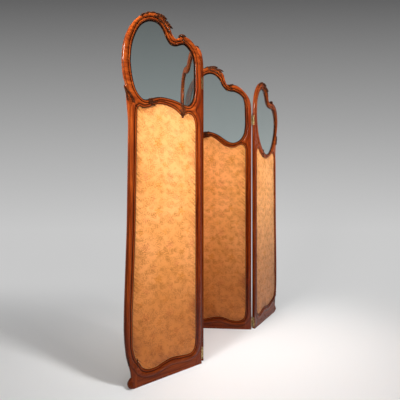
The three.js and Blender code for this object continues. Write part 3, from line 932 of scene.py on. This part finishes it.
def leaf_blade(spine, width, lobes, rise, base, tip_curl=0.0):
    """One carved leaf along a spine of (x, z) points: lobed, ribbed, with a sunk midrib. Sizes in mm."""
    width, rise, base, tip_curl = (size * MM for size in (width, rise, base, tip_curl))
    spine = smooth_run(np.array(spine, float), 1.5 * MM)
    steps = len(spine)
    u = np.linspace(0, 1, steps)[:, None]
    v = np.linspace(-1, 1, 13)[None]
    taper = np.sin(np.pi * np.clip(u, 0.02, 0.995) ** 0.62) ** 0.8
    lobe = 0.66 + 0.34 * np.abs(np.sin(np.pi * lobes * u))
    half = width / 2 * taper * (lobe if lobes else 1.0)
    way = unit(np.gradient(spine, axis=0))
    side = np.stack([-way[:, 1], way[:, 0]], axis=1)
    flat = spine[:, None] + side[:, None] * (v * half)[..., None]
    ribs = 0.22 * np.cos(2 * np.pi * (lobes * u - 0.6 * np.abs(v)))
    crown = (1 - v**4) * (0.75 + ribs) - 0.45 * np.exp(-(v / 0.14) ** 2)
    height = rise * np.maximum(crown, 0.02) * (0.35 + 0.65 * taper) + tip_curl * u**6
    front = np.stack([flat[..., 0], base - height, flat[..., 1]], axis=-1)
    back = np.stack([flat[..., 0], np.full(flat.shape[:2], base + 5 * MM), flat[..., 1]], axis=-1)
    # Painted shade and dark wax in the leaf's grooves and midrib, and in full on its back.
    hollow = np.clip(0.75 - crown, 0, 1) ** 1.5
    points, faces = grid_solid(front, back)
    return points, faces, np.concatenate([hollow.ravel(), np.ones(hollow.size)])


def berry(centre, radius, base, squash=0.8):
    """A small ribbed bud on the frame."""
    rows, columns = 9, 16
    tall = np.linspace(-0.5, 0.5, rows)[:, None] * np.pi
    round_it = np.linspace(0, 2 * np.pi, columns, endpoint=False)[None]
    ribbed = radius * (1 + 0.08 * np.cos(5 * round_it))
    x = centre[0] + ribbed * np.cos(tall) * np.cos(round_it)
    z = centre[1] + ribbed * squash * np.cos(tall) * np.sin(round_it)
    y = base + radius * np.sin(tall) * np.ones_like(round_it)
    points = np.stack([x, y, z], axis=-1)[1:-1].reshape(-1, 3)
    number = np.arange((rows - 2) * columns).reshape(rows - 2, columns)
    faces = [(int(number[r, c]), int(number[r, (c + 1) % columns]), int(number[r + 1, (c + 1) % columns]),
              int(number[r + 1, c])) for r in range(rows - 3) for c in range(columns)]
    faces += [tuple(reversed(number[0].tolist())), tuple(number[-1].tolist())]
    # A little dark wax and painted shade all over.
    return points, faces, np.full(len(points), 0.15)


def joined(name, panel, parts, material=None):
    """One carved piece from several parts, each (points, faces, hollow)."""
    points, faces, hollow = [], [], []
    count = 0
    for part_points, part_faces, part_hollow in parts:
        points.append(part_points)
        faces += [tuple(i + count for i in face) for face in part_faces]
        hollow.append(part_hollow)
        count += len(part_points)
    points = np.concatenate(points)
    piece = mesh_object(name, panel.world(points), faces, 50, grain=points[:, (0, 2, 1)],
                        hollow=np.concatenate(hollow))
    return dress(piece, panel.body, material or CARVED_WAX_AND_SHADE)


class Crown:
    """Places along the outer edge of a panel's top: how far right of the crest, and how far in."""

    def __init__(self, panel):
        lines = [run for kind, run in member_runs(panel, "top_rail") if kind == "outer"]
        line = np.concatenate(lines)[::-1]
        line = line[np.concatenate([[True], np.linalg.norm(np.diff(line, axis=0), axis=1) > TINY])]
        self.line = line
        way = np.gradient(line, axis=0)
        self.normal = unit(-np.stack([-way[:, 1], way[:, 0]], axis=1))
        self.travelled = np.concatenate([[0], np.cumsum(np.linalg.norm(np.diff(line, axis=0), axis=1))])
        self.travelled -= self.travelled[line[:, 1].argmax()]

    def at(self, along, inwards=0.0):
        place = [np.interp(along * MM, self.travelled, self.line[:, k]) for k in range(2)]
        normal = [np.interp(along * MM, self.travelled, self.normal[:, k]) for k in range(2)]
        return np.array(place) + np.array(normal) * inwards * MM

    def second_hump(self):
        """How far right of the crest the lower hump is."""
        beyond = self.travelled > 60 * MM
        heights, places = self.line[beyond, 1], self.travelled[beyond]
        falling = np.diff(heights) < 0
        dip = np.flatnonzero(~falling & (heights[1:] < self.line[:, 1].max() - 20 * MM))[0]
        return places[dip + heights[dip:].argmax()] / MM


def crest_carving(panel, crown):
    """Scallops up to the crest, then acanthus sprays that run down to a curled tip."""
    parts = []
    for along in (-80, -50, -20, 10):
        spine = [crown.at(along - 24, 7), crown.at(along, 1), crown.at(along + 19, 0)]
        parts.append(leaf_blade(spine, 11, 1, 4.5, 4))
    sprays = [
        ((-24, 16), (10, 14), (48, 12), (17, 4)),
        ((2, 9), (28, 1), (54, -5), (18, 4)),
        ((4, 26), (34, 29), (64, 27), (15, 4)),
        ((32, 14), (64, 12), (98, 4), (20, 5)),
        ((56, 6), (80, 0), (98, -11), (13, 3)),
        ((48, 26), (76, 28), (108, 24), (14, 4)),
        ((84, 15), (108, 16), (134, 14), (12, 3)),
    ]
    for start, middle, end, (width, lobes) in sprays:
        spine = [crown.at(*start), crown.at(*middle), crown.at(*end)]
        parts.append(leaf_blade(spine, width, lobes, 4.8, 2.2, 1.5))
    parts.append(berry(crown.at(2, 12), 5.5 * MM, 1.5 * MM))
    piece = joined(f"{panel.body}_crest_acanthus", panel, parts)
    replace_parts(piece, f"{panel.body}_crest_carving")


def hump_bud(panel, crown):
    """A bud between two small leaves, on the outer edge at the lower hump."""
    along = crown.second_hump() - 26
    parts = [berry(crown.at(along, -1), 13 * MM, 7 * MM, 0.75)]
    for way in (-1, 1):
        spine = [crown.at(along, 0), crown.at(along + way * 12, -3), crown.at(along + way * 26, 3)]
        parts.append(leaf_blade(spine, 13, 3, 4.5, 4))
    spine = [crown.at(along, 8), crown.at(along + 2, 20), crown.at(along + 4, 38)]
    parts.append(leaf_blade(spine, 14, 3, 4, 2))
    joined(f"{panel.body}_hump_bud", panel, parts)


def crossing(loop, x, top):
    """The height at which a closed loop crosses x: the highest place, or else the lowest."""
    heights = [z0 + (x - x0) * (z1 - z0) / (x1 - x0) for (x0, z0), (x1, z1) in pairs(closed(loop))
               if min(x0, x1) <= x < max(x0, x1)]
    return max(heights) if top else min(heights)


def rail_cuff(panel):
    """Leaves that wrap the middle rail where the ring's moulding dies into it."""
    low, high = panel.glass[:, 0].min(), panel.glass[:, 0].max()
    x = low + 0.32 * (high - low)
    top, bottom = crossing(panel.glass, x, False), crossing(panel.silk, x, True)
    middle = (top + bottom) / 2
    reach = 26 * MM
    upper = [(x - reach, top - 9 * MM), (x - 8 * MM, top - 4 * MM), (x + 9 * MM, top + 6 * MM)]
    lower = [(x - reach, bottom + 8 * MM), (x - 6 * MM, bottom + 4 * MM), (x + 12 * MM, bottom + 1 * MM)]
    parts = [
        leaf_blade(upper, 14, 3, 4.5, 3),
        leaf_blade([(x - reach, middle), (x, middle), (x + reach, middle + 4 * MM)], 17, 4, 4.5, 2.5),
        leaf_blade(lower, 13, 3, 4.5, 3),
    ]
    joined(f"{panel.body}_rail_cuff", panel, parts)


def pendant(panel):
    """A leaf hanging from the middle rail at the dip in the silk's top edge, ending in a drop."""
    low, high = panel.silk[:, 0].min(), panel.silk[:, 0].max()
    across = panel.silk[:, 0]
    middle = panel.silk[(across > low + 0.6 * (high - low)) & (across < low + 0.93 * (high - low))]
    upper = middle[middle[:, 1] > panel.silk[:, 1].mean()]
    x, dip = upper[upper[:, 1].argmin()]
    top = crossing(panel.glass, x, False)
    parts = []
    for way in (-1, 1):
        spine = [(x - way * 4 * MM, top + 3 * MM), (x + way * 12 * MM, (top + dip) / 2), (x + way * 5 * MM, dip)]
        parts.append(leaf_blade(spine, 16, 4, 4.5, 2.5))
    parts.append(leaf_blade([(x, top - 6 * MM), (x, (top + dip) / 2), (x, dip - 2 * MM)], 17, 4, 5, 1.5))
    parts.append(berry((x, dip - 3 * MM), 5.5 * MM, 3 * MM, 1.0))
    joined(f"{panel.body}_pendant", panel, parts)


def free_side_carving(panel):
    """On a free stile: the spur's leaf, the leaves over the ankle and the foot's scroll."""
    way = 1 if FREE_SIDE[panel.name] == "left" else -1
    outside = np.concatenate(panel.outer_runs)

    def in_from_edge(inset, height):
        near = outside[np.abs(outside[:, 1] - height * MM) < OUTLINE_STEP]
        edge = near[:, 0].min() if way > 0 else near[:, 0].max()
        return np.array((edge + way * inset * MM, height * MM))

    tip = spur_tip(panel, way)
    spurs = [leaf_blade([tip + (way * x * MM, z * MM) for x, z in places], width, lobes, 5, 3)
             for places, width, lobes in (
                 (((56, -86), (30, -38), (-2, 2)), 15, 5), (((17, -66), (8, -28), (-3, 3)), 8, 2))]
    joined(f"{panel.body}_spur_leaf", panel, spurs)
    ankle = [leaf_blade([in_from_edge(14, 176), in_from_edge(9, 146), in_from_edge(0, 113)], 13, 3, 4.5, 4),
             leaf_blade([in_from_edge(26, 78), in_from_edge(36, 100), in_from_edge(48, 130)], 15, 4, 4.5, 4)]
    joined(f"{panel.body}_ankle_leaves", panel, ankle)
    centre = in_from_edge(12.5, 21)
    scroll = [centre + (way * r * MM * math.cos(a), r * MM * math.sin(a))
              for r, a in ((12 - 0.75 * k, math.radians(150 - 48 * k)) for k in range(13))]
    foot = [leaf_blade(scroll, 5.5, 0, 3.5, 4), berry(centre, 3.4 * MM, 2.5 * MM, 1.0)]
    joined(f"{panel.body}_foot_scroll", panel, foot, MAHOGANY)


def spur_tip(panel, way):
    """The corner of the outer edge where the ring springs from a free stile."""
    loop, kinds = panel.loops["top_rail"], edge_kinds(panel, "top_rail")
    corners = [loop[i] for i in range(len(loop))
               if abs(turns(loop)[i]) > CORNER_TURN and kinds[i] == kinds[i - 1] == "outer"]
    corners = corners or [loop[(loop[:, 0] * way).argmin()]]
    return min(corners, key=lambda corner: corner[0] * way)


# ---------------------------------------------------------------- assembly

def build_panel(name):
    panel = Panel(name)
    for member in MEMBERS:
        moulded_member(panel, member)
    silk_panel(panel)
    glazing(panel)
    for node, (low, high) in hinge_leaves(panel).items():
        hinge_leaf(panel, node, low, high)
    crown = Crown(panel)
    crest_carving(panel, crown)
    hump_bud(panel, crown)
    rail_cuff(panel)
    if name in PENDANTS:
        pendant(panel)
    if name in FREE_SIDE:
        free_side_carving(panel)


def build_pins():
    for node in sorted(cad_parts):
        if node.endswith("_pin"):
            hinge_pin(node, f"panel_{node.split('_')[1][0]}")


def area_light(name, place, aim, size, power, colour, spread, glossy=False):
    """A soft box that points at a place; only the glossy ones show in the polish and the glass."""
    light = bpy.data.lights.new(name, "AREA")
    light.shape = "RECTANGLE"
    light.size, light.size_y = size
    light.energy = power
    light.color = colour
    light.spread = math.radians(spread)
    lamp = bpy.data.objects.new(name, light)
    lamp.location = place
    lamp.rotation_euler = (Vector(aim) - Vector(place)).to_track_quat("-Z", "Y").to_euler()
    lamp.visible_glossy = glossy
    lamp.visible_transmission = False
    bpy.context.scene.collection.objects.link(lamp)


def studio():
    """A pale paper sweep, soft boxes and the camera."""
    back, radius, high, half = 2.6, 1.6, 6.0, 9.0
    line = [(-7.0, 0.0), (back - radius, 0.0)]
    line += [(back - radius + radius * math.sin(a), radius - radius * math.cos(a))
             for a in (math.radians(6 * k) for k in range(1, 15))]
    line += [(back, radius), (back, high)]
    points = [(x, y, z) for y, z in line for x in (-half, half)]
    faces = [(2 * i, 2 * i + 1, 2 * i + 3, 2 * i + 2) for i in range(len(line) - 1)]
    sweep = mesh_object("paper_sweep", points, faces, 60)
    sweep.data.materials.append(paper_material())
    area_light("key", (-1.8, -2.3, 2.7), (0.0, 0.0, 1.15), (0.8, 0.8), 13.5, (1.0, 0.98, 0.95), 42,
               glossy=True)
    area_light("left_rim", (-2.7, -0.7, 1.5), (-0.4, -0.7, 1.2), (0.5, 1.2), 2.5, (1.0, 0.97, 0.92), 40)
    area_light("right_front", (2.3, -2.8, 1.9), (-0.35, -0.5, 1.05), (0.3, 1.0), 1.8, (1.0, 0.94, 0.9), 30)
    area_light("right_card", (2.6, -0.9, 1.5), (0.3, 0.2, 1.3), (0.8, 0.8), 4, (1.0, 0.97, 0.85), 50)
    area_light("right_high", (1.7, -1.8, 3.3), (-0.5, -0.3, 0.3), (0.4, 0.4), 11, (1.0, 1.0, 1.0), 60)
    area_light("far_panel", (1.3, -2.3, 2.2), (0.35, 0.25, 1.3), (0.4, 0.6), 0.9, (1.0, 0.96, 0.8), 25)
    area_light("overhead", (-0.5, -1.2, 3.55), (-0.1, 0.0, 0.7), (0.8, 0.5), 4, (1.0, 1.0, 1.0), 70)
    area_light("floor_wash", (0.7, 0.3, 3.9), (0.7, 0.3, 0.0), (2.0, 2.0), 14, (1.0, 1.0, 1.0), 100)
    world = bpy.data.worlds.new("studio_air")
    world.use_nodes = True
    world.node_tree.nodes["Background"].inputs["Color"].default_value = (0.9, 0.93, 1.0, 1)
    world.node_tree.nodes["Background"].inputs["Strength"].default_value = 0.06
    bpy.context.scene.world = world
    camera = bpy.data.cameras.new("camera")
    camera.lens = 28.73
    camera.shift_y = -0.002
    eye = bpy.data.objects.new("camera", camera)
    eye.location = (-0.1295, -1.9792, 0.8682)
    eye.rotation_euler = (math.radians(90), 0, 0)
    bpy.context.scene.collection.objects.link(eye)
    bpy.context.scene.camera = eye
    bpy.context.scene.view_settings.view_transform = "Standard"


for panel_name in PANELS:
    build_panel(panel_name)
build_pins()
studio()
